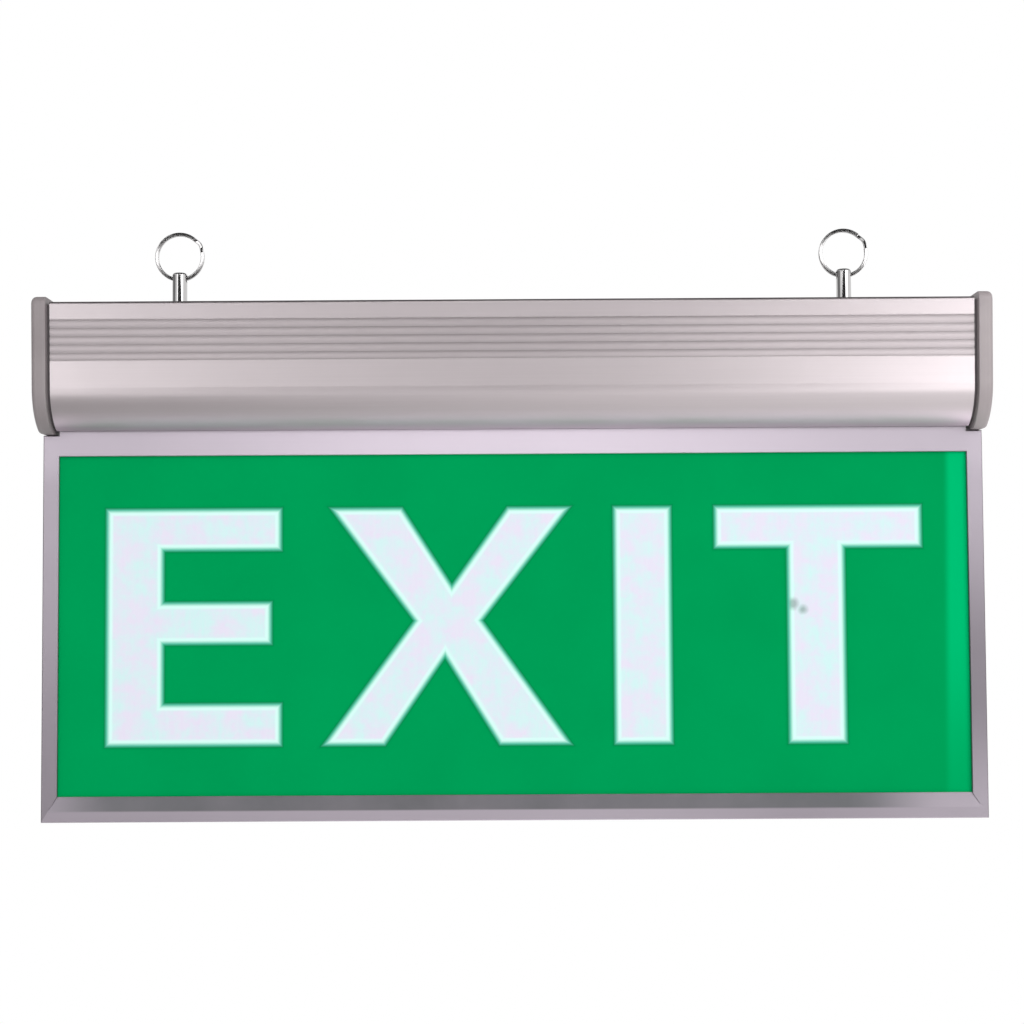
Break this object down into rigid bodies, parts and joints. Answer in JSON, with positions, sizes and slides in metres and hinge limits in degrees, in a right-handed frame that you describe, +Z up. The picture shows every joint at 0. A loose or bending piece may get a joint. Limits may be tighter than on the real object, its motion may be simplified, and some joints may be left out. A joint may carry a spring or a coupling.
{
  "type": "emergency exit light",
  "caption": "Hanging exit light: ribbed aluminium housing with moulded end caps and split rings over a framed, edge-lit legend panel.",
  "frame": {"origin": "on the housing's flat top face, midway between the two hanging studs", "axes": "+X right as seen from the front, along the housing; +Y to the back, through the panel; +Z up"},
  "size_m": [0.36, 0.0418, 0.2252],
  "materials": {
    "anodised_aluminium": "satin anodised, fine extrusion lines",
    "plain_aluminium": "satin sheet",
    "grey_cap_plastic": "moulded, fine texture",
    "polished_steel": "polished",
    "plated_steel": "zinc plated",
    "tray_steel": "plain galvanised sheet",
    "legend_plastic": "satin printed sheet",
    "clear_acrylic": "clear, polished edges",
    "white_film": "matt white film",
    "white_board": "white solder mask",
    "emitter": "phosphor window",
    "green_board": "green solder mask",
    "shrink_sleeve": "heat-shrunk sleeve",
    "black_rubber": "moulded rubber",
    "black_plastic": "moulded",
    "nylon": "natural nylon",
    "terminal_green": "moulded",
    "brass": "plated brass",
    "film_case": "moulded case",
    "fuse_glass": "clear tube",
    "ferrite": "ground ferrite",
    "winding_tape": "polyester tape",
    "button_plastic": "moulded, satin face",
    "mains_lens": "tinted, clear",
    "fault_lens": "tinted, clear"
  },
  "bodies": {
    "fixture": {"housing_shell": "anodised_aluminium", "frame_top_bar": "anodised_aluminium", "frame_left_bar": "anodised_aluminium", "frame_right_bar": "anodised_aluminium", "frame_bottom_bar": "anodised_aluminium", "back_plate": "plain_aluminium", "corner_keys": "plain_aluminium", "end_cap_left": "grey_cap_plastic", "end_cap_right": "grey_cap_plastic", "hanging_stud_left": "polished_steel", "hanging_stud_right": "polished_steel", "cap_screws_left": "plated_steel", "cap_screws_right": "plated_steel", "stud_washers": "plated_steel", "stud_nuts": "plated_steel", "frame_screws": "plated_steel", "clamp_screws": "plated_steel", "board_screws": "plated_steel", "switch_board_screws": "plated_steel", "gear_tray": "tray_steel", "battery_clips": "tray_steel", "legend_sheet": "legend_plastic", "light_guide": "clear_acrylic", "reflector_sheet": "white_film", "led_board": "white_board", "led_chips": "emitter", "driver_board": "green_board", "switch_board": "green_board", "battery_pack": "shrink_sleeve", "cable_grommet": "black_rubber", "cable_clamp_base": "black_plastic", "cable_clamp_bar": "black_plastic", "control_chip": "black_plastic", "switch_body": "black_plastic", "smoothing_capacitors": "black_plastic", "board_standoffs": "nylon", "lead_plugs": "nylon", "terminal_block": "terminal_green", "terminal_screws": "brass", "fuse_clips": "brass", "film_capacitor": "film_case", "line_fuse": "fuse_glass", "transformer_core": "ferrite", "transformer_winding": "winding_tape", "indicator_mains": "mains_lens", "indicator_fault": "fault_lens"},
    "left_ring": {"ring_left": "polished_steel"},
    "right_ring": {"ring_right": "polished_steel"},
    "button": {"test_button": "button_plastic", "switch_plunger": "button_plastic"}
  },
  "joints": [
    {"name": "ring_left_swing", "type": "hinge", "parent": "fixture", "child": "left_ring", "pos_m": [-0.1278, 0, 0.0115], "axis": [1, 0, 0], "range_deg": [-124, 124]},
    {"name": "ring_right_swing", "type": "hinge", "parent": "fixture", "child": "right_ring", "pos_m": [0.1278, 0, 0.0115], "axis": [1, 0, 0], "range_deg": [-124, 124]},
    {"name": "test_button_press", "type": "slide", "parent": "fixture", "child": "button", "axis": [-1, 0, 0], "range_m": [0, 0.0009], "stiffness_N_per_m": 800, "springref_m": -0.0004}
  ]
}
